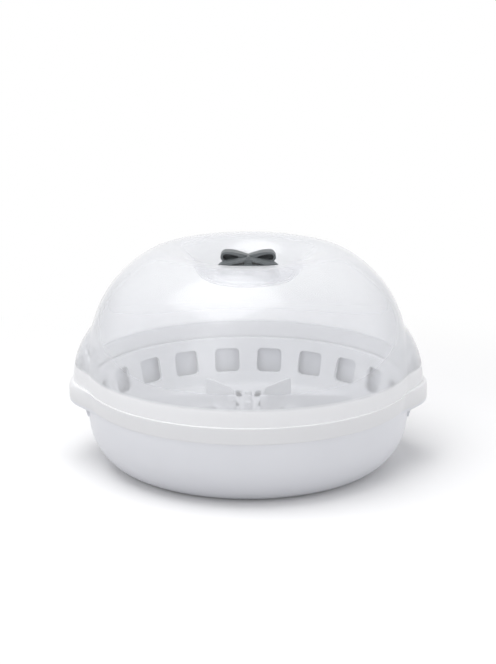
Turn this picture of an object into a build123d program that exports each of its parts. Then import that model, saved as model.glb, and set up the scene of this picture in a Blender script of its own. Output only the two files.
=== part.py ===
from build123d import *
import math
import os

# Microwave bottle sterilizer, in millimetres. The origin is on the surface it stands on, under its
# centre, with the front towards -Y, +Z up and the carrying ears at -X and +X.

# Round body. The other radii follow from this one by clearances and steps.
lip_radius = 127.0            # outer radius at the lid's lower edge

# Base bowl
base_height = 52.2            # floor to the shoulder that the lid stands on
base_inset = 0.6              # base's side inside the lid's lip
base_side_in = 33.4           # how far the side comes in on its way down
base_middle_radius = 41.0     # middle one of the three arcs of the side
base_sweeps = (10.5, 37.7)    # degrees of its upper and middle arc
base_wall = 2.4
foot_ring_width = 8.0
foot_ring_height = 1.2
collar_height = 9.8           # upright ring inside the lid, above the shoulder
collar_wall = 2.2
ear_tab_thickness = 3.0
ear_tab_inset = 0.4           # the base's ear edge, inside the lid's
tab_rib_spacing = 52.0
tab_rib_thickness = 2.0
tab_rib_drop = 18.0
tab_rib_margin = 3.0          # ear's edge to the rib

# Lid
lid_wall = 2.0
lid_side_gap = 0.5            # lid's lip to the base's collar
skirt_flare = 2.2             # how much wider the skirt is at its top
skirt_height = 13.0
skirt_step = 0.9              # step from the skirt in to the dome
skirt_edge_fillet = 1.2       # top edge of the skirt and of the ears
dome_height = 103.0           # skirt to crest
dome_middle_radius = 87.3     # middle one of the three arcs of the dome
dome_sweeps = (19.2, 42.1)    # degrees of its lower and middle arc
crest_radius = 62.7
dish_depth = 21.2             # crest to the bottom of the dish
dish_floor_radius = 30.0
dish_brow_radius = 26.0       # arc from the crest into the dish
boss_base_radius = 24.4
boss_top_radius = 22.6
boss_height = 8.5
boss_fillet = 1.5             # at the boss's foot and at its top edge
vent_radius = 1.6
vent_circle_radius = 11.5
vent_count = 4

# Carrying ears, the same outline on the lid and on the base
ear_radius = 48.0
ear_reach = 11.8              # how far the ears stand out of the skirt
ear_blend = 8.0               # where the ear runs into the round

# Pocket above each ear, round the same axis as the ear's edge
pocket_inset = 3.8            # ledge between the ear's edge and the pocket
pocket_round = 25.2           # how far the pocket's side curves in on its way up
pocket_height = 42.3

# Rack basket
rack_wall = 2.0
rack_side_gap = 0.8           # rack to the inside of the collar
rack_flange_thickness = 2.2
rack_flange_inset = 0.1       # flange edge inside the collar's outer face
rack_depth = 40.0             # flange to the underside of the ledge
rack_taper = 10.0             # how much narrower the rack is at its ledge
rack_corner_radius = 9.0
window_count = 20
window_width = 21.0
window_height = 20.0
window_corner = 4.0
window_top_margin = 6.0       # below the flange
grip_gap = 9.6                # lid's ear wall, inside, to the grip's outer face
grip_wall = 2.2
grip_half_width = 21.0
grip_corner = 16.8
grip_height = 27.0            # flange to the top of the grip
grip_slot_width = 26.0
grip_slot_height = 11.0
grip_slot_drop = 7.0          # top of the grip to the top of its finger slot

# Drain tray on the basket's ledge, with its fins and pegs
tray_thickness = 2.0
tray_overlap = 7.0            # of the tray on the ledge
tray_hub_radius = 19.0        # middle of the tray, with the pegs
tray_rim = 8.0                # slots to the tray's edge
slot_width = 5.0
slot_ring_counts = (8, 16, 32)
slot_ring_gap = 7.0
seat_depth = 0.8              # how far fins and pegs stand in the tray
seat_gap = 0.1
fin_count = 8
fin_start_angle = 22.5
fin_thickness = 2.2
fin_height = 21.0             # at the hub
fin_rim_height = 13.0
fin_corner = 4.0
fin_hub_gap = 12.0            # hub to the fin's inner end
fin_rim_gap = 3.0             # fin's outer end to the slots' outer end
peg_radius = 4.2
peg_tip_radius = 3.0
peg_height = 24.0
peg_circle_radius = 13.0
peg_count = 4                 # round the one in the middle

# Bow knob and its clip
bow_base_length = 43.0
bow_base_depth = 17.0
bow_base_thickness = 1.6
bow_ribbon = 1.7
bow_overlap = 1.5             # how far loops and tails run past the middle, inside the knot
bow_loop_length = 21.4
bow_loop_depth = 11.0
bow_pinch_depth = 7.0         # depth of the loops in the knot
bow_loop_back = 2.2           # middle of the loops, behind the stem's axis
bow_loop_low = 2.6            # lower edge of the loops, above the boss
bow_height = 10.9
bow_knot_height = 7.6
bow_knot_width = 7.0
bow_knot_depth = 12.0
bow_knot_back = 0.5
tail_reach = 23.0
tail_front = 8.8              # how far the tails come forward
tail_thickness = 1.4
tail_root_height = 7.4        # top of a tail, from the knot
tail_middle_height = 5.2
tail_end_height = 3.4         # to its tip, before the tilt
tail_tilt = 12.0              # degrees, front edge down
stem_radius = 4.0
stem_gap = 0.3
stem_groove_radius = 2.8
stem_tail = 3.0               # stem below the clip
clip_radius = 7.5
clip_thickness = 1.6
clip_gap = 0.3                # boss to clip, and clip to stem
clip_mouth = 4.6

# Heights and radii that follow from the sizes above
base_radius = lip_radius - base_inset
base_flat_radius = base_radius - base_side_in
skirt_radius = lip_radius + skirt_flare
ear_center = skirt_radius + ear_reach - ear_radius
skirt_top_z = base_height + skirt_height
crest_z = skirt_top_z + dome_height
dish_z = crest_z - dish_depth
boss_z = dish_z + boss_height
collar_top_z = base_height + collar_height
collar_radius = lip_radius - lid_wall - lid_side_gap
bowl_radius = collar_radius - collar_wall
rack_radius = bowl_radius - rack_side_gap
ledge_z = collar_top_z - rack_depth
tray_z = ledge_z + rack_wall
tray_top_z = tray_z + tray_thickness
tray_radius = rack_radius - rack_taper - rack_corner_radius
slot_ring_pitch = (tray_radius - tray_rim - tray_hub_radius) / len(slot_ring_counts)
flange_top_z = collar_top_z + rack_flange_thickness
grip_radius = ear_radius - lid_wall - grip_gap
grip_top_z = flange_top_z + grip_height
slack = 2.0                   # how far a cutting shape runs past what it cuts


def tangent_arcs(start, end, middle_radius, sweeps, inset):
    """Three arcs from an upright place to a level one further in. The ends give the outer two radii."""
    first, second = [math.radians(sweep) for sweep in sweeps]
    both = first + second
    run = start[0] - end[0] - middle_radius * (math.cos(first) - math.cos(both))
    rise = abs(end[1] - start[1]) - middle_radius * (math.sin(both) - math.sin(first))
    scale = (1 - math.cos(first)) * (1 - math.sin(both)) - math.cos(both) * math.sin(first)
    first_radius = (run * (1 - math.sin(both)) - rise * math.cos(both)) / scale
    last_radius = (rise * (1 - math.cos(first)) - run * math.sin(first)) / scale
    turn = math.copysign(1, end[1] - start[1])
    arcs = [JernArc((start[0] - inset, start[1]), (0, turn), first_radius - inset, turn * sweeps[0])]
    for radius, sweep in ((middle_radius, sweeps[1]), (last_radius, 90 - sum(sweeps))):
        arcs.append(JernArc(arcs[-1] @ 1, arcs[-1] % 1, radius - inset, turn * sweep))
    return arcs


def dish_arcs(inset):
    """Two arcs from the crest, level, down to the bottom of the dish, level again."""
    run = crest_radius - dish_floor_radius
    sweep = 2 * math.atan(dish_depth / run)
    foot_radius = run / math.sin(sweep) - dish_brow_radius
    brow = JernArc((crest_radius, crest_z - inset), (-1, 0), dish_brow_radius - inset, math.degrees(sweep))
    foot = JernArc(brow @ 1, brow % 1, foot_radius + inset, -math.degrees(sweep))
    return [brow, foot]


def revolved(*edges, rounded=()):
    """Solid of revolution about Z of a closed outline of (radius, height), some of its corners rounded."""
    face = make_face(Curve() + list(edges))
    for corner, radius in rounded:
        face = fillet(face.vertices().sort_by_distance((*corner, 0))[0], radius)
    return revolve(Plane.XZ * face, Axis.Z)


def upright(radius, height):
    """Cylinder standing on the level it is placed at."""
    return Cylinder(radius, height, align=(Align.CENTER, Align.CENTER, Align.MIN))


def plan_outline(round_radius, edge_radius, blend):
    """Plan of the round body with an ear at each end of X."""
    outline = Circle(round_radius)
    for side in (-1, 1):
        outline += Pos(side * ear_center, 0) * Circle(edge_radius)
    corners = [v for v in outline.vertices() if abs(v.Y) > edge_radius / 4]
    return fillet(corners, blend)


def pockets(inset, bottom_z):
    """Both ear pockets as solids on bottom_z, each with an upright side that curves in to its top."""
    across = pocket_round - inset
    top_z = skirt_top_z + pocket_height - inset
    flat_radius = ear_radius - pocket_inset - pocket_round
    side_radius = flat_radius + across
    solid = revolved(
        Line((0, bottom_z), (side_radius, bottom_z)),
        Line((side_radius, bottom_z), (side_radius, skirt_top_z)),
        EllipticalCenterArc((flat_radius, skirt_top_z), across, top_z - skirt_top_z),
        Line((flat_radius, top_z), (0, top_z)),
        Line((0, top_z), (0, bottom_z)),
    )
    return [Pos(side * ear_center, 0, 0) * solid for side in (-1, 1)]


def bowl_side(inset):
    start = (base_radius, base_height)
    return tangent_arcs(start, (base_flat_radius, 0), base_middle_radius, base_sweeps, inset)


def bowl_form():
    side = bowl_side(0)
    return revolved(
        *side,
        Line(side[-1] @ 1, (0, 0)),
        Line((0, 0), (0, base_height)),
        Line((0, base_height), side[0] @ 0),
    )


def bowl_hollow():
    side = bowl_side(base_wall)
    top_z = collar_top_z + slack
    bottom = side[-1] @ 1
    whole = revolved(
        *side,
        Line(bottom, (0, bottom.Y)),
        Line((0, bottom.Y), (0, top_z)),
        Line((0, top_z), ((side[0] @ 0).X, top_z)),
        Line(((side[0] @ 0).X, top_z), side[0] @ 0),
    )
    return whole & Pos(0, 0, foot_ring_height + base_wall) * upright(bowl_radius, collar_top_z)


def tab_ribs():
    """Upright ribs that carry the ears from below, with room for the fingers between them."""
    tab_z = base_height - ear_tab_thickness
    edge_radius = ear_radius - ear_tab_inset
    edge_x = ear_center + math.sqrt(edge_radius ** 2 - (tab_rib_spacing / 2) ** 2)
    profile = Polyline(
        (bowl_radius - base_wall, tab_z),
        (edge_x - tab_rib_margin, tab_z),
        (bowl_radius - base_wall, tab_z - tab_rib_drop),
        close=True,
    )
    rib = extrude(Plane.XZ * make_face(profile), tab_rib_thickness / 2, both=True)
    ribs = []
    for side in (-1, 1):
        for place in (-1, 1):
            ribs.append(Rot(0, 0, 90 - 90 * side) * Pos(0, place * tab_rib_spacing / 2, 0) * rib)
    return ribs


def base_bowl():
    tab = plan_outline(base_radius, ear_radius - ear_tab_inset, ear_blend)
    body = bowl_form() + Pos(0, 0, base_height - ear_tab_thickness) * extrude(tab, ear_tab_thickness)
    body += tab_ribs()
    body += Pos(0, 0, base_height) * Cylinder(collar_radius, 2 * collar_height)
    body -= bowl_hollow()
    return body - Cylinder(base_flat_radius - foot_ring_width, 2 * foot_ring_height)


def lid_profile(inset, foot_z):
    """The lid's dome, dish and boss as one solid of revolution, moved inwards by inset."""
    dome = tangent_arcs((skirt_radius - skirt_step, skirt_top_z), (crest_radius, crest_z),
                        dome_middle_radius, dome_sweeps, inset)
    dish = dish_arcs(inset)
    foot = dome[0] @ 0
    boss_foot = (boss_base_radius - inset, dish_z - inset)
    boss_edge = (boss_top_radius - inset, boss_z - inset)
    return revolved(
        Line((0, foot_z), (foot.X, foot_z)),
        Line((foot.X, foot_z), foot),
        *dome,
        *dish,
        Line(dish[-1] @ 1, boss_foot),
        Line(boss_foot, boss_edge),
        Line(boss_edge, (0, boss_z - inset)),
        Line((0, boss_z - inset), (0, foot_z)),
        rounded=[(boss_foot, boss_fillet + inset), (boss_edge, max(boss_fillet - inset, boss_fillet / 3))],
    )


def skirt_form(inset, foot_z, top_z):
    """Skirt and ears, wider at the top than at the lip."""
    rise = (skirt_radius - lip_radius) / skirt_height
    low = lip_radius + rise * (foot_z - base_height) - inset
    high = lip_radius + rise * (top_z - base_height) - inset
    edge = ear_radius - inset
    blend = ear_blend + inset
    outlines = [
        Pos(0, 0, foot_z) * plan_outline(low, edge, blend),
        Pos(0, 0, top_z) * plan_outline(high, edge, blend),
    ]
    return loft(outlines, ruled=True)


def lid_dome():
    skirt = skirt_form(0.0, base_height, skirt_top_z)
    skirt = fillet(skirt.faces().sort_by(Axis.Z)[-1].edges(), skirt_edge_fillet)
    body = lid_profile(0.0, skirt_top_z - lid_wall) + skirt + pockets(0.0, base_height + slack)
    foot_z = base_height - slack
    hollow = lid_profile(lid_wall, skirt_top_z - 2 * lid_wall) + pockets(lid_wall, foot_z)
    hollow += skirt_form(lid_wall, foot_z, skirt_top_z - lid_wall)
    body -= hollow
    body -= Pos(0, 0, boss_z) * Cylinder(stem_radius + stem_gap, 4 * lid_wall)
    for place in PolarLocations(vent_circle_radius, vent_count, start_angle=45):
        body -= place * Pos(0, 0, boss_z) * Cylinder(vent_radius, 4 * lid_wall)
    return body


def basket_wall():
    """Flange, wall and ledge of the basket, standing in the collar."""
    foot_radius = rack_radius - rack_taper
    face = make_face(Polyline(
        (tray_radius - tray_overlap, ledge_z),
        (foot_radius, ledge_z),
        (rack_radius, collar_top_z),
        (collar_radius - rack_flange_inset, collar_top_z),
        (collar_radius - rack_flange_inset, flange_top_z),
        (rack_radius - rack_wall, flange_top_z),
        (foot_radius - rack_wall, tray_z),
        (tray_radius - tray_overlap, tray_z),
        close=True,
    ))
    for corner, radius in (
        ((foot_radius, ledge_z, 0), rack_corner_radius),
        ((foot_radius - rack_wall, tray_z, 0), rack_corner_radius - rack_wall),
    ):
        face = fillet(face.vertices().sort_by_distance(corner)[0], radius)
    return revolve(Plane.XZ * face, Axis.Z)


def basket_windows():
    outline = Plane.YZ * RectangleRounded(window_width, window_height, window_corner)
    window = extrude(outline, rack_taper + slack)
    middle = collar_top_z - window_top_margin - window_height / 2
    places = PolarLocations(rack_radius - rack_taper, window_count, start_angle=180 / window_count)
    return [place * Pos(0, 0, middle) * window for place in places]


def basket_grips():
    """Upright curved grips with a finger slot, one in each ear pocket of the lid."""
    height = grip_top_z - collar_top_z
    shell = upright(grip_radius, height) - upright(grip_radius - grip_wall, height)
    shelf = upright(grip_radius, rack_flange_thickness)
    front = Pos(0, collar_top_z) * Rectangle(2 * grip_half_width, height, align=(Align.CENTER, Align.MIN))
    front = fillet(front.vertices().sort_by(Axis.Y)[-2:], grip_corner)
    slot_z = grip_top_z - grip_slot_drop - grip_slot_height / 2
    front -= Pos(0, slot_z) * SlotOverall(grip_slot_width, grip_slot_height)
    grip = Pos(ear_center, 0, collar_top_z) * (shell + shelf)
    grip &= Pos(ear_center, 0, 0) * extrude(Plane.YZ * front, ear_radius)
    grip -= Pos(0, 0, collar_top_z) * upright(rack_radius - rack_wall, rack_flange_thickness)
    return [grip, Rot(0, 0, 180) * grip]


def rack_basket():
    return basket_wall() - basket_windows() + basket_grips()


def bottle_fin():
    """Upright fin that keeps the bottles apart, along a radius and sloping down to the rim."""
    inner = tray_hub_radius + fin_hub_gap
    outer = tray_radius - tray_rim - fin_rim_gap
    low = tray_top_z - seat_depth
    face = make_face(Polyline(
        (inner, low),
        (outer, low),
        (outer, tray_top_z + fin_rim_height),
        (inner, tray_top_z + fin_height),
        close=True,
    ))
    face = fillet(face.vertices().group_by(Axis.Y)[-1] + face.vertices().group_by(Axis.Y)[-2], fin_corner)
    return extrude(Plane.XZ * face, fin_thickness / 2, both=True)


def teat_peg():
    length = peg_height + seat_depth
    peg = Cone(peg_radius, peg_tip_radius, length, align=(Align.CENTER, Align.CENTER, Align.MIN))
    peg = fillet(peg.edges().sort_by(Axis.Z)[-1], peg_tip_radius / 2)
    return Pos(0, 0, tray_top_z - seat_depth) * peg


fin_places = [Rot(0, 0, fin_start_angle + 360 * turn / fin_count) for turn in range(fin_count)]
peg_places = [Location((0, 0, 0))] + list(PolarLocations(peg_circle_radius, peg_count))


def drain_tray():
    """Flat tray with rings of drain slots and a shallow seat for each fin and peg."""
    tray = Pos(0, 0, tray_z) * upright(tray_radius, tray_thickness)
    cuts = []
    for ring, count in enumerate(slot_ring_counts):
        radius = tray_hub_radius + (ring + 0.5) * slot_ring_pitch
        slot = extrude(SlotOverall(slot_ring_pitch - slot_ring_gap, slot_width), tray_thickness + 2 * slack)
        for place in PolarLocations(radius, count, start_angle=fin_start_angle + 180 / count):
            cuts.append(place * Pos(0, 0, tray_z - slack) * slot)
    fin = bottle_fin().bounding_box()
    fin_seat = Pos(fin.center().X, 0, tray_top_z) * Box(
        fin.size.X + 2 * seat_gap, fin_thickness + 2 * seat_gap, 2 * seat_depth)
    cuts += [place * fin_seat for place in fin_places]
    peg_seat = Pos(0, 0, tray_top_z - seat_depth) * upright(peg_radius + seat_gap, tray_thickness)
    cuts += [place * peg_seat for place in peg_places]
    return tray - cuts


def bow_loop():
    """One loop of the bow towards +X, a teardrop of ribbon that is narrow at the knot."""
    middle = (bow_height + bow_loop_low) / 2
    half = (bow_height - bow_loop_low) / 2
    end = bow_loop_length - half
    outline = Spline(
        (-bow_overlap, middle),
        (end * 0.5, middle + half * 0.8),
        (end, middle + half),
        (bow_loop_length, middle),
        (end, middle - half),
        (end * 0.5, middle - half * 0.8),
        (-bow_overlap, middle),
        tangents=[(1, 0.6), (1, 0.3), (1, 0), (0, -1), (-1, 0), (-1, 0.3), (-1, 0.6)],
    )
    inner = half - bow_ribbon
    start = end * 0.34
    hollow = Spline(
        (start, middle),
        (end * 0.6, middle + inner * 0.6),
        (end, middle + inner),
        (bow_loop_length - bow_ribbon, middle),
        (end, middle - inner),
        (end * 0.6, middle - inner * 0.6),
        (start, middle),
        tangents=[(1, 0.3), (1, 0.3), (1, 0), (0, -1), (-1, 0), (-1, 0.3), (-1, 0.3)],
    )
    side = make_face(outline) - make_face(hollow)
    plan = Polyline(
        (-bow_overlap, -bow_pinch_depth / 2),
        (end * 0.6, -bow_loop_depth / 2),
        (bow_loop_length + slack, -bow_loop_depth / 2),
        (bow_loop_length + slack, bow_loop_depth / 2),
        (end * 0.6, bow_loop_depth / 2),
        (-bow_overlap, bow_pinch_depth / 2),
        close=True,
    )
    loop = extrude(Plane.XZ * side, bow_loop_depth, both=True)
    loop &= extrude(make_face(plan), bow_height + slack)
    return Pos(0, bow_loop_back, 0) * loop


def bow_tail():
    """One tail of the bow towards +X, a leaf that drapes forwards and down to a pointed tip."""
    root = -bow_overlap
    tip = (tail_reach, -tail_front * 0.8)
    behind = Spline(
        (root, 0.8),
        (tail_reach * 0.6, 1.2),
        tip,
        tangents=[(1, 0.1), (0.6, -1)],
    )
    before = Spline(
        tip,
        (tail_reach * 0.5, -tail_front),
        (root, -tail_front * 0.5),
        tangents=[(-1, -0.3), (-1, 0.5)],
    )
    leaf = make_face(Curve() + [behind, before, Line(before @ 1, behind @ 0)])
    top = Spline(
        (root, tail_root_height),
        (tail_reach * 0.6, tail_middle_height),
        (tail_reach + slack, tail_end_height),
    )
    low = Pos(0, -tail_thickness) * top
    sheet = make_face(Curve() + [top, low, Line(top @ 0, low @ 0), Line(top @ 1, low @ 1)])
    sheet = Rot(tail_tilt, 0, 0) * extrude(Plane.XZ * sheet, 2 * tail_front, both=True)
    return extrude(leaf, bow_height + slack) & sheet


def bow_knot():
    """The pinch in the middle, an arch of ribbon over loops and tails."""
    arch = EllipticalCenterArc((0, 0), bow_knot_width / 2, bow_knot_height, arc_size=180)
    face = make_face(Curve() + [arch, Line((-bow_knot_width / 2, 0), (bow_knot_width / 2, 0))])
    return Pos(0, bow_knot_back, 0) * extrude(Plane.XZ * face, bow_knot_depth / 2, both=True)


def bow_knob():
    """Bow on its oval foot, with the grooved stem that goes down through the boss."""
    bow = extrude(Ellipse(bow_base_length / 2, bow_base_depth / 2), bow_base_thickness)
    bow += bow_knot()
    for half in (bow_loop(), bow_tail()):
        bow += half
        bow += mirror(half, Plane.YZ)
    clip_top = -lid_wall - clip_gap
    stem_length = lid_wall + clip_thickness + 3 * clip_gap + stem_tail
    stem = Cylinder(stem_radius, stem_length, align=(Align.CENTER, Align.CENTER, Align.MAX))
    stem = chamfer(stem.edges().sort_by(Axis.Z)[0], stem_tail / 3)
    groove = clip_thickness + 2 * clip_gap
    ring = upright(stem_radius + slack, groove) - upright(stem_groove_radius, groove)
    stem -= Pos(0, 0, clip_top + clip_gap - groove) * ring
    return Pos(0, 0, boss_z) * (bow + stem)


def knob_clip():
    """Snap ring in the stem's groove, under the boss."""
    ring = Circle(clip_radius) - Circle(stem_groove_radius + clip_gap)
    ring -= Pos(0, -clip_radius) * Rectangle(clip_mouth, 2 * clip_radius)
    clip = extrude(ring, clip_thickness)
    return Pos(0, 0, boss_z - lid_wall - clip_gap - clip_thickness) * clip


nodes = {
    "base_bowl": base_bowl(),
    "rack_basket": rack_basket(),
    "drain_tray": drain_tray(),
    "lid_dome": lid_dome(),
    "bow_knob": bow_knob(),
    "knob_clip": knob_clip(),
}
for number, place in enumerate(fin_places, 1):
    nodes[f"bottle_fin_{number}"] = place * bottle_fin()
for number, place in enumerate(peg_places, 1):
    nodes[f"teat_peg_{number}"] = place * teat_peg()

os.makedirs("parts", exist_ok=True)
for name, solid in nodes.items():
    export_step(solid, os.path.join("parts", name + ".step"))
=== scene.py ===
import math

import bmesh
import bpy
from mathutils import Matrix, Vector


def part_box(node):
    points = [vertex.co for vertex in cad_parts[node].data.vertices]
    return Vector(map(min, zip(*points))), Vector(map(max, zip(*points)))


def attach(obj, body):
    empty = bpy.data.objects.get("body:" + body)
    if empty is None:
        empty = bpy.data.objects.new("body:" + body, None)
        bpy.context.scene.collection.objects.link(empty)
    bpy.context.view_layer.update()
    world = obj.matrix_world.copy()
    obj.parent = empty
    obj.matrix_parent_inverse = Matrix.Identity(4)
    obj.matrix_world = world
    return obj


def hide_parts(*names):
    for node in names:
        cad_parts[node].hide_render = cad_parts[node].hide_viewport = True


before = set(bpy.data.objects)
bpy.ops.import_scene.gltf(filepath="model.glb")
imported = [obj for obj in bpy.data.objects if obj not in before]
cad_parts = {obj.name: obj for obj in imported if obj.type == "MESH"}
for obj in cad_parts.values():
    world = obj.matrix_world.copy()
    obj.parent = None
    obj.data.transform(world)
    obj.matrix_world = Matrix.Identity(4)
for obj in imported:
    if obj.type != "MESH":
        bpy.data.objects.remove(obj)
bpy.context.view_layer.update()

# Microwave bottle sterilizer, in metres. Heights are above the floor, radii are from the upright axis.

MM = 0.001

# Vertices closer than this are taken to be at one place
NEAR = 0.001 * MM

lid_low, lid_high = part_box("lid_dome")
base_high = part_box("base_bowl")[1]
knob_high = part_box("bow_knob")[1]

# Lid
LID_WALL = 2.0 * MM
LIP_Z = lid_low.z
LIP_RADIUS = 127.0 * MM
SKIRT_Z = LIP_Z + 13.0 * MM
SKIRT_RADIUS = lid_high.y - 0.1 * MM
SKIRT_ROUND = 0.6 * MM
DOME_RADIUS = SKIRT_RADIUS - 0.9 * MM
DOME_MIDDLE_RADIUS = 87.3 * MM
DOME_SWEEPS = (19.2, 42.1)
CREST_Z = lid_high.z
CREST_RADIUS = 62.7 * MM
DISH_DEPTH = 21.2 * MM
DISH_FLOOR_RADIUS = 30.0 * MM
DISH_BROW_RADIUS = 26.0 * MM
BOSS_FOOT_RADIUS = 24.4 * MM
BOSS_TOP_RADIUS = 22.6 * MM
BOSS_HEIGHT = 8.5 * MM
BOSS_ROUND = 1.5 * MM
STEM_HOLE_RADIUS = 4.3 * MM
VENT_COUNT = 4
VENT_RADIUS = 1.6 * MM
VENT_CIRCLE_RADIUS = 11.5 * MM
SKIRT_ROWS = 16
LEDGE_ROWS = 4
DOME_STEPS = 22
DISH_STEPS = 14
HOLE_STEPS = 28

# Looks of the lid: frosted below, hazy above that, milky round the boss, and with painted shade (a darker
# grey colour) at the dome's sides where they turn from view
FROST_TOP_Z = 78.0 * MM
FROST_EDGE = 1.6 * MM
HAZE_TOP_Z = 130.0 * MM
SHADE_TOP_Z = 160.0 * MM
MILKY_RADIUS = 22.4 * MM
MILKY_EDGE_RADIUS = 34.0 * MM
CLEAR_DENSITY = 0.13
HAZE_DENSITY = 0.13
MILKY_DENSITY = 0.24
EDGE_DENSITY = 0.42
FROST_DENSITY = 0.74
FROST_OVERLAP = 0.8
CLEAR_COLOUR = (0.925, 0.933, 0.953, 1)
# Painted shade: the darker grey mixed into the lid's colour at the dome's sides, where they turn from view
PAINTED_SIDE_SHADE_COLOUR = (0.70, 0.71, 0.73, 1)
FROST_COLOUR = (0.96, 0.963, 0.975, 1)
FILM_COLOUR = (0.985, 0.987, 0.993, 1)
PAINTED_SHADE_START = 0.40
PAINTED_SHADE_FULL = 0.85
BODY_ROUGHNESS = 0.12
FROST_ROUGHNESS = 0.3
GLOSS_ROUGHNESS = 0.30
SHINE = 0.03
EDGE_SHINE = 0.30
WAVE_SCALE = 9.0
WAVE_STRENGTH = 0.15
WAVE_DEPTH = 0.4 * MM

# Ears of the lid, with the pocket above each
EAR_CENTER = 93.0 * MM
EAR_RADIUS = lid_high.x - EAR_CENTER
EAR_BLEND = 2.6 * MM
EAR_REACH = lid_high.x - SKIRT_RADIUS
EAR_EDGE_HEIGHT = 7.0 * MM
EAR_EDGE_DEPTH = 3.2 * MM
POCKET_RADIUS = EAR_RADIUS - 3.8 * MM
POCKET_ROUND = 25.2 * MM
POCKET_HEIGHT = 42.3 * MM
POCKET_BLEND = 2.0 * MM

# Base
BASE_RADIUS = 126.4 * MM
BASE_FLAT_RADIUS = 93.0 * MM
BASE_MIDDLE_RADIUS = 41.0 * MM
BASE_SWEEPS = (10.5, 37.7)
BASE_WALL = 2.4 * MM
FOOT_RING_WIDTH = 8.0 * MM
FOOT_RING_HEIGHT = 1.2 * MM
FOOT_RING_BEVEL = 0.4 * MM
FOOT_RING_EDGE = 0.3 * MM
COLLAR_Z = base_high.z
COLLAR_RADIUS = 124.5 * MM
COLLAR_WALL = 2.2 * MM
TAB_THICKNESS = 3.0 * MM
TAB_RADIUS = base_high.x - EAR_CENTER
TAB_EDGE = 0.1 * MM
TAB_ROUND = 0.5 * MM
TAB_SLOPE = 0.02 * MM
BASE_STEPS = 16
TAB_UNDER_ROWS = 5
TAB_EDGE_ROWS = 4
TAB_TOP_ROWS = 6
RIB_THICKNESS = 2.0 * MM
RIB_SPACING = 52.0 * MM
RIB_DROP = 8.0 * MM
RIB_MARGIN = 6.0 * MM
RIB_ROOT = 4.0 * MM
RIB_FOOT = 2.0 * MM
RIB_SINK = 0.5 * MM

# Rack
FIN_COUNT = 8
PEG_COUNT = 5

# Webs of painted shade in the bow's loops: dark sheets that stand in for the shade inside each loop. Each
# is round at its outer end and comes to a point near the knob's axis
WEB_Z = knob_high.z - 4.15 * MM
WEB_BACK = 2.8 * MM
WEB_THICKNESS = 1.0 * MM
WEB_END = 16.8 * MM
WEB_END_RADIUS = 3.2 * MM
WEB_POINT = 4.0 * MM
WEB_STEPS = 32

TURN_STEPS = 288


# Curves as (radius, height)

def three_arcs(start, end, middle_radius, sweeps, steps):
    """Three arcs from an upright place to a level one further in. The ends give the outer two radii."""
    first, second = [math.radians(sweep) for sweep in sweeps]
    both = first + second
    run = start[0] - end[0] - middle_radius * (math.cos(first) - math.cos(both))
    rise = abs(end[1] - start[1]) - middle_radius * (math.sin(both) - math.sin(first))
    scale = (1 - math.cos(first)) * (1 - math.sin(both)) - math.cos(both) * math.sin(first)
    first_radius = (run * (1 - math.sin(both)) - rise * math.cos(both)) / scale
    last_radius = (rise * (1 - math.cos(first)) - run * math.sin(first)) / scale
    way = math.copysign(1, end[1] - start[1])
    turns = (0, first, both, math.pi / 2)
    points = [start]
    for radius, low, high in zip((first_radius, middle_radius, last_radius), turns, turns[1:]):
        x, z = points[-1]
        for step in range(1, steps + 1):
            turn = low + (high - low) * step / steps
            across = radius * (math.cos(low) - math.cos(turn))
            points.append((x - across, z + way * radius * (math.sin(turn) - math.sin(low))))
    return points


def dish_arcs(steps):
    """Two arcs from the crest, level, down to the bottom of the dish, level again."""
    run = CREST_RADIUS - DISH_FLOOR_RADIUS
    sweep = 2 * math.atan(DISH_DEPTH / run)
    foot_radius = run / math.sin(sweep) - DISH_BROW_RADIUS
    turns = [sweep * step / steps for step in range(1, steps + 1)]
    brow = [(CREST_RADIUS - DISH_BROW_RADIUS * math.sin(turn),
             CREST_Z - DISH_BROW_RADIUS * (1 - math.cos(turn))) for turn in turns]
    floor_z = CREST_Z - DISH_DEPTH
    turns = [sweep - turn for turn in turns]
    foot = [(DISH_FLOOR_RADIUS + foot_radius * math.sin(turn),
             floor_z + foot_radius * (1 - math.cos(turn))) for turn in turns]
    return brow + foot


def rounded(before, corner, after, radius, steps=5):
    """The arc that rounds a corner of a polyline."""
    corner = Vector(corner)
    back = (Vector(before) - corner).normalized()
    ahead = (Vector(after) - corner).normalized()
    half = back.angle(ahead) / 2
    reach = radius / math.tan(half)
    middle = corner + (back + ahead).normalized() * radius / math.sin(half)
    first = corner + back * reach - middle
    last = corner + ahead * reach - middle
    sweep = first.angle(last)
    points = []
    for step in range(steps + 1):
        share = step / steps
        mixed = (first * math.sin((1 - share) * sweep) + last * math.sin(share * sweep)) / math.sin(sweep)
        points.append(tuple(middle + mixed))
    return points


def offset(points, inset):
    """The points moved to the left of their way by inset."""
    moved = []
    for place, point in enumerate(points):
        before = Vector(points[max(place - 1, 0)])
        after = Vector(points[min(place + 1, len(points) - 1)])
        ahead = (after - before).normalized()
        moved.append((point[0] - inset * ahead.y, point[1] + inset * ahead.x))
    return moved


def between(start, end, steps):
    """The points after start on a straight run to end."""
    return [tuple(Vector(start).lerp(Vector(end), step / steps)) for step in range(1, steps + 1)]


# Meshes

def turned(bm, points):
    """Spins a profile of (radius, height) round the upright axis."""
    verts = [bm.verts.new((radius, 0, height)) for radius, height in points]
    edges = [bm.edges.new(pair) for pair in zip(verts, verts[1:])]
    bmesh.ops.spin(bm, geom=verts + edges, cent=(0, 0, 0), axis=(0, 0, 1), dvec=(0, 0, 0),
                   angle=math.tau, steps=TURN_STEPS, use_merge=True)
    bmesh.ops.remove_doubles(bm, verts=bm.verts, dist=NEAR)
    bmesh.ops.recalc_face_normals(bm, faces=bm.faces)


def soft_max(first, second, blend):
    """The larger of two lengths, with a hollow of about that blend where they cross."""
    overlap = max(blend * 4 - abs(first - second), 0.0) / (blend * 4)
    return max(first, second) + overlap * overlap * blend


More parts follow.
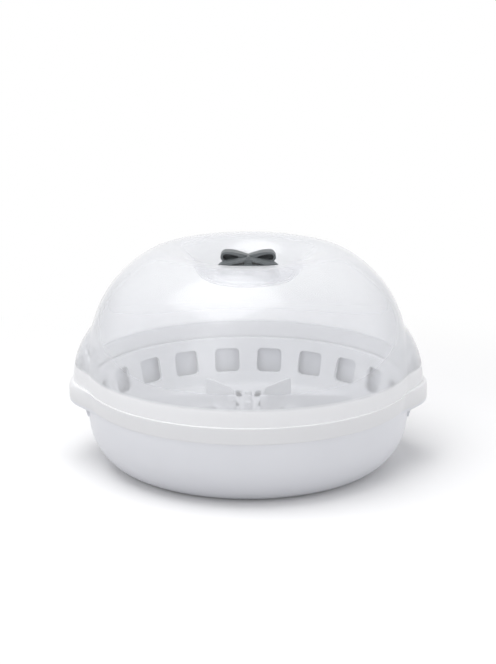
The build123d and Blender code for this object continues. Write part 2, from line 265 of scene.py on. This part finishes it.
def ear_reach(across, along, radius):
    """How far an ear's round edge lies from the axis in a direction, or 0 where the direction misses it."""
    inside = radius * radius - (EAR_CENTER * across) ** 2
    if inside < 0:
        return 0.0
    return EAR_CENTER * abs(along) + math.sqrt(inside)


def finished(name, bm, material, body, stands_for=(), smooth_angle=30):
    """Makes the object of a bmesh, smooth but for its sharp edges, and lets it ride on a body."""
    for face in bm.faces:
        face.smooth = True
    for edge in bm.edges:
        if len(edge.link_faces) == 2:
            edge.smooth = edge.calc_face_angle(0) < math.radians(smooth_angle)
    mesh = bpy.data.meshes.new(name)
    bm.to_mesh(mesh)
    bm.free()
    mesh.materials.append(material)
    piece = bpy.data.objects.new(name, mesh)
    bpy.context.scene.collection.objects.link(piece)
    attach(piece, body)
    if stands_for:
        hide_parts(*stands_for)


def merged_copy(node):
    """A copy of a CAD node's mesh with its loose triangles joined."""
    bm = bmesh.new()
    bm.from_mesh(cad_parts[node].data)
    bmesh.ops.remove_doubles(bm, verts=bm.verts, dist=2 * NEAR)
    return bm


# Shaders

class Socket:
    """An output in a node tree, with the arithmetic that adds Math nodes."""

    def __init__(self, tree, output):
        self.tree = tree
        self.output = output

    def maths(self, operation, first, second):
        return self.tree.add("ShaderNodeMath", {"operation": operation}, {0: first, 1: second})

    def __add__(self, other):
        return self.maths("ADD", self, other)

    def __radd__(self, other):
        return self.maths("ADD", other, self)

    def __rsub__(self, other):
        return self.maths("SUBTRACT", other, self)

    def __mul__(self, other):
        return self.maths("MULTIPLY", self, other)

    def __rmul__(self, other):
        return self.maths("MULTIPLY", other, self)

    def __pow__(self, other):
        return self.maths("POWER", self, other)


class Tree:
    """A node tree that is built by add."""

    def __init__(self, owner):
        owner.use_nodes = True
        self.nodes = owner.node_tree.nodes
        self.links = owner.node_tree.links
        self.nodes.clear()

    def add(self, kind, settings=None, sockets=None, output=0):
        """Adds a node with its settings and with the values or links of its sockets."""
        node = self.nodes.new(kind)
        for name, value in (settings or {}).items():
            setattr(node, name, value)
        for name, value in (sockets or {}).items():
            if isinstance(value, Socket):
                self.links.new(value.output, node.inputs[name])
            else:
                node.inputs[name].default_value = value
        return Socket(self, node.outputs[output]) if node.outputs else None

    def place(self, axis=None, kind="Object"):
        """Object coordinates, or one of them. For a world the kind Generated gives the way a ray goes."""
        point = self.add("ShaderNodeTexCoord", output=kind)
        if axis is None:
            return point
        return self.add("ShaderNodeSeparateXYZ", sockets={0: point}, output=axis)

    def step(self, value, start, end):
        """0 before start and 1 after end, smooth between them."""
        return self.add("ShaderNodeMapRange", {"interpolation_type": "SMOOTHSTEP"},
                        {"Value": value, "From Min": start, "From Max": end})

    def noise(self, scale, detail=2.0):
        sockets = {"Vector": self.place(), "Scale": scale, "Detail": detail}
        return self.add("ShaderNodeTexNoise", sockets=sockets)

    def blend(self, share, first, second):
        """A colour between two colours."""
        return self.add("ShaderNodeMix", {"data_type": "RGBA"}, {0: share, 6: first, 7: second}, output=2)

    def bump(self, height, strength, distance):
        sockets = {"Height": height, "Strength": strength, "Distance": distance}
        return self.add("ShaderNodeBump", sockets=sockets)

    def rays(self, *kinds):
        """1 for rays of these kinds and 0 for the others."""
        total = 0
        for kind in kinds:
            total = total + self.add("ShaderNodeLightPath", output=f"Is {kind} Ray")
        return total.maths("MINIMUM", total, 1)

    def surface(self, shader):
        self.add("ShaderNodeOutputMaterial", sockets={"Surface": shader})


PLAIN_WHITE = (1, 1, 1, 1)
PLASTIC_IOR = 1.5

# Opaque plastics: clouds in the colour, smudges in the gloss and a grain of one of these scales and depths
CLOUD_SCALE = 22.0
SMUDGE = 0.06
SMUDGE_SCALE = 60.0
GRAIN_STRENGTH = 0.35
COARSE = 900.0
FINE = 1400.0
SHALLOW = 0.02 * MM
DEEP = 0.03 * MM


def plastic(name, colour, shade, roughness, grain_scale, grain_depth):
    """Opaque moulded plastic with a fine grain, a little darker and lighter in places."""
    material = bpy.data.materials.new(name)
    tree = Tree(material)
    cloud = tree.step(tree.noise(CLOUD_SCALE), 0.3, 0.7)
    grain = tree.noise(grain_scale, detail=3.0)
    tree.surface(tree.add("ShaderNodeBsdfPrincipled", sockets={
        "Base Color": tree.blend(cloud, shade, colour),
        "Roughness": roughness + SMUDGE * tree.noise(SMUDGE_SCALE),
        "IOR": PLASTIC_IOR,
        "Normal": tree.bump(grain, GRAIN_STRENGTH, grain_depth),
    }))
    return material


def clear_plastic(name):
    """The lid's plastic: a film that lets light through, mixed with a pale body whose colour has painted
    shade at the dome's sides, and a gloss over both.
    """
    material = bpy.data.materials.new(name)
    tree = Tree(material)
    height = tree.place("Z")
    across = tree.place("X")
    along = tree.place("Y")
    edge = tree.add("ShaderNodeLayerWeight", sockets={"Blend": 0.5}, output="Facing")
    frost = 1 - tree.step(height, FROST_TOP_Z - FROST_EDGE, FROST_TOP_Z + FROST_EDGE)
    haze = 1 - tree.step(height, FROST_TOP_Z, HAZE_TOP_Z)
    milky = 1 - tree.step((across * across + along * along) ** 0.5, MILKY_RADIUS, MILKY_EDGE_RADIUS)
    density = CLEAR_DENSITY + HAZE_DENSITY * haze + MILKY_DENSITY * milky + EDGE_DENSITY * edge ** 3.0
    density = density + frost * (FROST_DENSITY - FROST_OVERLAP * density)
    # Painted shade: the body's colour turns to a darker grey where the dome's sides turn from view, below
    # SHADE_TOP_Z
    side = tree.step(edge, PAINTED_SHADE_START, PAINTED_SHADE_FULL) * (1 - tree.step(height, HAZE_TOP_Z, SHADE_TOP_Z))
    body = tree.add("ShaderNodeBsdfPrincipled", sockets={
        "Base Color": tree.blend(frost, tree.blend(side, CLEAR_COLOUR, PAINTED_SIDE_SHADE_COLOUR), FROST_COLOUR),
        "Roughness": BODY_ROUGHNESS + FROST_ROUGHNESS * frost,
        "IOR": PLASTIC_IOR,
        "Normal": tree.bump(tree.noise(WAVE_SCALE), WAVE_STRENGTH, WAVE_DEPTH),
    })
    film = tree.add("ShaderNodeBsdfTransparent", sockets={"Color": FILM_COLOUR})
    shell = tree.add("ShaderNodeMixShader", sockets={0: density, 1: film, 2: body})
    gloss = tree.add("ShaderNodeBsdfAnisotropic", sockets={
        "Color": PLAIN_WHITE, "Roughness": GLOSS_ROUGHNESS})
    shine = SHINE + EDGE_SHINE * edge ** 7.0
    tree.surface(tree.add("ShaderNodeMixShader", sockets={0: shine, 1: shell, 2: gloss}))
    return material


WHITE_BOWL = plastic("white_bowl", (0.80, 0.81, 0.845, 1), (0.785, 0.795, 0.83, 1), 0.30, COARSE, SHALLOW)
WHITE_RACK = plastic("white_rack", (0.84, 0.845, 0.86, 1), (0.82, 0.825, 0.84, 1), 0.36, COARSE, SHALLOW)
GREY_KNOB = plastic("grey_knob", (0.138, 0.150, 0.157, 1), (0.125, 0.136, 0.143, 1), 0.42, FINE, DEEP)
# Painted shade: near-black plastic for the webs that fill the bow's loops, where there is only shade inside
# them
PAINTED_SHADE_WEB = plastic("painted_shade_web", (0.060, 0.066, 0.070, 1), (0.055, 0.060, 0.064, 1), 0.5, FINE, SHALLOW)
GREY_CLIP = plastic("grey_clip", (0.16, 0.17, 0.18, 1), (0.15, 0.16, 0.17, 1), 0.40, FINE, SHALLOW)
CLEAR_LID = clear_plastic("clear_lid")


# Lid

def lid_outline(inset):
    """Profile of one of the lid's faces, from the lip over the crest to the edge of the boss's top."""
    foot_z = SKIRT_Z - inset
    lip = (LIP_RADIUS - inset, LIP_Z)
    shoulder = (SKIRT_RADIUS - inset, foot_z)
    foot = (DOME_RADIUS - inset, foot_z)
    edge = rounded(lip, shoulder, foot, SKIRT_ROUND, steps=4)
    points = [lip] + between(lip, edge[0], SKIRT_ROWS)[:-1] + edge
    points += between(edge[-1], foot, LEDGE_ROWS)
    crest = (CREST_RADIUS, CREST_Z)
    dome = three_arcs((DOME_RADIUS, SKIRT_Z), crest, DOME_MIDDLE_RADIUS, DOME_SWEEPS, DOME_STEPS)
    points += offset(dome + dish_arcs(DISH_STEPS), inset)[1:]
    dish_z = CREST_Z - DISH_DEPTH - inset
    boss_foot = (BOSS_FOOT_RADIUS - inset, dish_z)
    boss_edge = (BOSS_TOP_RADIUS - inset, dish_z + BOSS_HEIGHT)
    points += rounded(points[-1], boss_foot, boss_edge, BOSS_ROUND)
    points += rounded(boss_foot, boss_edge, (0, boss_edge[1]), BOSS_ROUND)
    return points


def pocket_radius(height, inset):
    """Radius of one of the pocket's faces about its own axis at a height, or None above it."""
    rise = (height - SKIRT_Z) / (POCKET_HEIGHT - inset)
    if rise >= 1:
        return None
    return POCKET_RADIUS - POCKET_ROUND + (POCKET_ROUND - inset) * math.sqrt(1 - max(rise, 0) ** 2)


def widen_lid(vert, inset):
    """Moves a vertex of the turned lid out to the ear, whose upper edge is round, or to its pocket."""
    radius = math.hypot(vert.co.x, vert.co.y)
    height = vert.co.z
    if radius < CREST_RADIUS:
        return
    along = vert.co.x / radius
    across = vert.co.y / radius
    foot_z = SKIRT_Z - inset
    slope = (SKIRT_RADIUS - LIP_RADIUS) / (foot_z - LIP_Z)
    side = LIP_RADIUS - inset + slope * (min(height, foot_z) - LIP_Z)
    ear = soft_max(side, ear_reach(across, along, EAR_RADIUS - inset), EAR_BLEND)
    rise = min(max(1 - (foot_z - height) / EAR_EDGE_HEIGHT, 0), 1)
    ear -= EAR_EDGE_DEPTH * (1 - math.sqrt(1 - rise * rise)) * (ear - side) / EAR_REACH
    pocket = pocket_radius(height, inset)
    if height < foot_z - NEAR:
        reach = ear - (side - radius)
    elif height < foot_z + NEAR:
        foot = DOME_RADIUS - inset
        ledge = SKIRT_RADIUS - inset - SKIRT_ROUND - foot
        wall = soft_max(foot, ear_reach(across, along, pocket), POCKET_BLEND)
        share = min(max((radius - foot) / ledge, 0), 1)
        reach = wall + (ear - SKIRT_ROUND - wall) * share
    elif pocket is not None:
        reach = soft_max(radius, ear_reach(across, along, pocket), POCKET_BLEND)
    else:
        reach = radius
    vert.co.x *= reach / radius
    vert.co.y *= reach / radius


def ring_edges(bm, x, y, radius, level):
    """A circle of loose edges for a hole."""
    place = Matrix.Translation((x, y, level))
    ring = bmesh.ops.create_circle(bm, segments=HOLE_STEPS, radius=radius, matrix=place)
    return list({edge for vert in ring["verts"] for edge in vert.link_edges})


def lid_face(bm, inset):
    """One face of the lid, and the rims of the lip and of the boss's holes, which stay open."""
    old = set(bm.verts)
    turned(bm, lid_outline(inset))
    new = [vert for vert in bm.verts if vert not in old]
    for vert in new:
        widen_lid(vert, inset)
    new = set(new)
    border = [edge for edge in bm.edges if edge.is_boundary and edge.verts[0] in new]
    lip = [edge for edge in border if edge.verts[0].co.z < LIP_Z + NEAR]
    top = [edge for edge in border if edge.verts[0].co.z > LIP_Z + NEAR]
    level = top[0].verts[0].co.z
    holes = [ring_edges(bm, 0, 0, STEM_HOLE_RADIUS, level)]
    for turn in range(VENT_COUNT):
        angle = math.tau * (turn + 0.5) / VENT_COUNT
        x = VENT_CIRCLE_RADIUS * math.cos(angle)
        y = VENT_CIRCLE_RADIUS * math.sin(angle)
        holes.append(ring_edges(bm, x, y, VENT_RADIUS, level))
    bmesh.ops.triangle_fill(bm, edges=sum(holes, top), use_beauty=True, normal=(0, 0, 1))
    return [lip] + holes


def rim_wall(bm, edges):
    """Grows a rim of the outer face and returns the new vertices, to be put on the inner face's rim."""
    grown = bmesh.ops.extrude_edge_only(bm, edges=edges)
    return [item for item in grown["geom"] if isinstance(item, bmesh.types.BMVert)]


def make_lid():
    bm = bmesh.new()
    lip, *holes = lid_face(bm, 0)
    for vert in rim_wall(bm, lip):
        share = (LIP_RADIUS - LID_WALL) / math.hypot(vert.co.x, vert.co.y)
        vert.co.x *= share
        vert.co.y *= share
        widen_lid(vert, LID_WALL)
    for hole in holes:
        bmesh.ops.translate(bm, verts=rim_wall(bm, hole), vec=(0, 0, -LID_WALL))
    lid_face(bm, LID_WALL)
    bmesh.ops.remove_doubles(bm, verts=bm.verts, dist=2 * NEAR)
    bmesh.ops.recalc_face_normals(bm, faces=bm.faces)
    finished("lid_shell", bm, CLEAR_LID, "lid", ["lid_dome"], smooth_angle=50)


# Base

def base_outline():
    """Profile of the bowl, from the middle of its underside round to the middle of its inner floor."""
    ring_inner = BASE_FLAT_RADIUS - FOOT_RING_WIDTH
    tab_z = LIP_Z - TAB_THICKNESS
    edge_radius = BASE_RADIUS + TAB_EDGE
    foot = (BASE_FLAT_RADIUS, 0)
    side = three_arcs((BASE_RADIUS, LIP_Z), foot, BASE_MIDDLE_RADIUS, BASE_SWEEPS, BASE_STEPS)
    inner = [point for point in offset(side, -BASE_WALL) if point[0] < COLLAR_RADIUS - COLLAR_WALL]
    side = [point for point in reversed(side) if point[1] < tab_z - TAB_ROUND]
    points = [(0, FOOT_RING_HEIGHT), (ring_inner - FOOT_RING_BEVEL, FOOT_RING_HEIGHT)]
    points += [(ring_inner, FOOT_RING_HEIGHT - FOOT_RING_BEVEL), (ring_inner, FOOT_RING_EDGE)]
    points += [(ring_inner + FOOT_RING_EDGE, 0)] + side + [(BASE_RADIUS - TAB_SLOPE, tab_z)]
    points += between(points[-1], (edge_radius - TAB_SLOPE, tab_z), TAB_UNDER_ROWS)
    points += between(points[-1], (edge_radius, LIP_Z), TAB_EDGE_ROWS)
    points += between(points[-1], (COLLAR_RADIUS, LIP_Z), TAB_TOP_ROWS)
    collar_edge = (COLLAR_RADIUS, COLLAR_Z)
    inner_edge = (COLLAR_RADIUS - COLLAR_WALL, COLLAR_Z)
    points += rounded((COLLAR_RADIUS, LIP_Z), collar_edge, inner_edge, TAB_ROUND, steps=3)
    points += rounded(collar_edge, inner_edge, (inner_edge[0], LIP_Z), TAB_ROUND, steps=3)
    floor_z = FOOT_RING_HEIGHT + BASE_WALL
    points += [(inner_edge[0], inner[0][1])] + [point for point in inner if point[1] > floor_z]
    points += [(points[-1][0] - BASE_WALL, floor_z), (0, floor_z)]
    return points


def widen_base(vert):
    """Moves a vertex of the turned base out to the ear's tab."""
    radius = math.hypot(vert.co.x, vert.co.y)
    height = vert.co.z
    if radius < COLLAR_RADIUS + NEAR or not LIP_Z - TAB_THICKNESS - NEAR < height < LIP_Z + NEAR:
        return
    edge_radius = BASE_RADIUS + TAB_EDGE
    ear = soft_max(edge_radius, ear_reach(vert.co.y / radius, vert.co.x / radius, TAB_RADIUS), EAR_BLEND)
    if height < LIP_Z - TAB_THICKNESS + NEAR:
        share = (radius - BASE_RADIUS) / TAB_EDGE
    elif height < LIP_Z - NEAR:
        share = 1.0
    else:
        share = (radius - COLLAR_RADIUS) / (edge_radius - COLLAR_RADIUS)
    reach = radius + (ear - edge_radius) * min(max(share, 0.0), 1.0)
    vert.co.x *= reach / radius
    vert.co.y *= reach / radius


def tab_rib(bm, side, place):
    """One upright rib under an ear's tab."""
    tab_z = LIP_Z - TAB_THICKNESS
    reach = EAR_CENTER + math.sqrt(TAB_RADIUS ** 2 - (RIB_SPACING / 2) ** 2) - RIB_MARGIN
    corners = [
        (BASE_RADIUS - RIB_ROOT, tab_z + RIB_SINK),
        (reach, tab_z + RIB_SINK),
        (BASE_RADIUS - RIB_FOOT, tab_z - RIB_DROP),
        (BASE_RADIUS - RIB_ROOT, tab_z - RIB_DROP),
    ]
    verts = [bm.verts.new((side * x, place - RIB_THICKNESS / 2, z)) for x, z in corners]
    face = bm.faces.new(verts)
    grown = bmesh.ops.extrude_face_region(bm, geom=[face])
    moved = [item for item in grown["geom"] if isinstance(item, bmesh.types.BMVert)]
    bmesh.ops.translate(bm, verts=moved, vec=(0, RIB_THICKNESS, 0))


def make_base():
    bm = bmesh.new()
    turned(bm, base_outline())
    for vert in bm.verts:
        widen_base(vert)
    for side in (-1, 1):
        for place in (-RIB_SPACING / 2, RIB_SPACING / 2):
            tab_rib(bm, side, place)
    bmesh.ops.recalc_face_normals(bm, faces=bm.faces)
    finished("base_shell", bm, WHITE_BOWL, "base", ["base_bowl"], smooth_angle=40)


# Rack, knob and clip keep their CAD shape, with smooth shading, and the bow's loops get thin dark webs of
# painted shade

def make_rack():
    pieces = {"basket": "rack_basket", "tray": "drain_tray"}
    for number in range(1, FIN_COUNT + 1):
        pieces[f"fin_{number}"] = f"bottle_fin_{number}"
    for number in range(1, PEG_COUNT + 1):
        pieces[f"peg_{number}"] = f"teat_peg_{number}"
    for name, node in pieces.items():
        finished(name, merged_copy(node), WHITE_RACK, "rack", [node])


def bow_web(side):
    """Thin dark web of painted shade across a loop of the bow, a teardrop behind the ribbon's front edge.
    """
    bm = bmesh.new()
    turn = Matrix.Rotation(math.pi / 2, 4, "X")
    for back in (WEB_BACK - WEB_THICKNESS / 2, WEB_BACK + WEB_THICKNESS / 2):
        place = Matrix.Translation((side * WEB_END, back, WEB_Z))
        bmesh.ops.create_circle(bm, segments=WEB_STEPS, radius=WEB_END_RADIUS, matrix=place @ turn)
        bm.verts.new((side * WEB_POINT, back, WEB_Z))
    hull = bmesh.ops.convex_hull(bm, input=bm.verts)
    bmesh.ops.delete(bm, geom=hull["geom_interior"] + hull["geom_unused"], context="VERTS")
    return bm


def make_knob():
    # The webs are dark sheets of painted shade inside the bow's loops
    for name, side in (("web_left", -1), ("web_right", 1)):
        finished(name, bow_web(side), PAINTED_SHADE_WEB, "lid", smooth_angle=35)
    finished("bow", merged_copy("bow_knob"), GREY_KNOB, "lid", ["bow_knob"], smooth_angle=32)
    finished("snap_ring", merged_copy("knob_clip"), GREY_CLIP, "lid", ["knob_clip"])


make_lid()
make_base()
make_rack()
make_knob()


# Stage

# Floor: matt near the object and plain white far from it, each with the colour that it bounces
FLOOR_RADIUS = 12.0
FLOOR_STEPS = 96
SHADOW_RADIUS = 0.24
WHITE_RADIUS = 0.50
MATT_WHITE = (0.96, 0.96, 0.965, 1)
MATT_BOUNCE = (0.50, 0.50, 0.51, 1)
PLAIN_BOUNCE = (0.45, 0.455, 0.47, 1)

# Light from the world. The low light is full up to LOW_END and fades out at HIGH_START, both as the
# height of a ray's direction.
AMBIENT_LIGHT = 0.46
LOW_LIGHT = 0.40
LOW_LIGHT_TO_RIGHT = 0.56
LOW_LIGHT_TO_SIDES = 1.25
LOW_END = 0.08
HIGH_START = 0.55
BLUER = 1.01
MIRRORED = (0.8, 0.8, 0.8, 1)


def floor_material():
    """White floor that keeps the shadow near the object, and lights it less than its white would."""
    material = bpy.data.materials.new("floor")
    tree = Tree(material)
    far = tree.add("ShaderNodeVectorMath", {"operation": "LENGTH"}, {0: tree.place()}, output="Value")
    seen = tree.rays("Camera", "Glossy", "Transmission")
    matt_colour = tree.blend(seen, MATT_BOUNCE, MATT_WHITE)
    plain_colour = tree.blend(seen, PLAIN_BOUNCE, PLAIN_WHITE)
    matt = tree.add("ShaderNodeBsdfDiffuse", sockets={"Color": matt_colour})
    plain = tree.add("ShaderNodeEmission", sockets={"Color": plain_colour, "Strength": 1.0})
    tree.surface(tree.add("ShaderNodeMixShader", sockets={
        0: tree.step(far, SHADOW_RADIUS, WHITE_RADIUS), 1: matt, 2: plain}))
    return material


def make_floor():
    bm = bmesh.new()
    bmesh.ops.create_circle(bm, cap_ends=True, segments=FLOOR_STEPS, radius=FLOOR_RADIUS)
    mesh = bpy.data.meshes.new("floor")
    bm.to_mesh(mesh)
    bm.free()
    mesh.materials.append(floor_material())
    floor = bpy.data.objects.new("floor", mesh)
    bpy.context.scene.collection.objects.link(floor)


def make_world():
    """White to the eye. It lights evenly from above, more from low down, and most from the right."""
    world = bpy.data.worlds.new("studio")
    bpy.context.scene.world = world
    tree = Tree(world)
    across = tree.place("X", "Generated")
    low = 1 - tree.step(tree.place("Z", "Generated"), LOW_END, HIGH_START)
    low_light = LOW_LIGHT + LOW_LIGHT_TO_RIGHT * across + LOW_LIGHT_TO_SIDES * across * across
    light = AMBIENT_LIGHT + low * low_light
    light = tree.add("ShaderNodeCombineXYZ", sockets={0: light, 1: light, 2: BLUER * light})
    colour = tree.blend(tree.rays("Glossy"), light, MIRRORED)
    colour = tree.blend(tree.rays("Camera", "Transmission"), colour, PLAIN_WHITE)
    back = tree.add("ShaderNodeBackground", sockets={"Color": colour, "Strength": 1.0})
    tree.add("ShaderNodeOutputWorld", sockets={"Surface": back})


def area_light(name, place, aim, side, power):
    data = bpy.data.lights.new(name, "AREA")
    data.shape = "SQUARE"
    data.size = side
    data.energy = power
    lamp = bpy.data.objects.new(name, data)
    bpy.context.scene.collection.objects.link(lamp)
    lamp.location = place
    lamp.rotation_euler = (Vector(aim) - Vector(place)).to_track_quat("-Z", "Y").to_euler()


# Camera, with the lens and the shifts in pixels of the frame
AIM = Vector((0, 0, 0.080))
CAMERA_DISTANCE = 1.3
CAMERA_ELEVATION = math.radians(16.1)
FOCAL_PIXELS = 1655.0
FRAME_HEIGHT = 664.0
AIM_BELOW_MIDDLE = 26.8
AIM_RIGHT_OF_MIDDLE = 0.2
SENSOR_WIDTH = 36.0


def make_camera():
    data = bpy.data.cameras.new("camera")
    data.sensor_width = SENSOR_WIDTH
    data.lens = FOCAL_PIXELS * SENSOR_WIDTH / FRAME_HEIGHT
    data.shift_y = AIM_BELOW_MIDDLE / FRAME_HEIGHT
    data.shift_x = -AIM_RIGHT_OF_MIDDLE / FRAME_HEIGHT
    camera = bpy.data.objects.new("camera", data)
    bpy.context.scene.collection.objects.link(camera)
    back = Vector((0, -math.cos(CAMERA_ELEVATION), math.sin(CAMERA_ELEVATION)))
    camera.location = AIM + back * CAMERA_DISTANCE
    camera.rotation_euler = (-back).to_track_quat("-Z", "Y").to_euler()
    bpy.context.scene.camera = camera


make_floor()
make_world()
area_light("top_light", place=(-0.25, -0.15, 1.3), aim=(0, 0, 0.05), side=1.1, power=11.0)
area_light("front_light", place=(-0.7, -1.3, 0.75), aim=(0, 0, 0.08), side=0.9, power=4.0)
make_camera()
bpy.context.scene.view_settings.view_transform = "Standard"
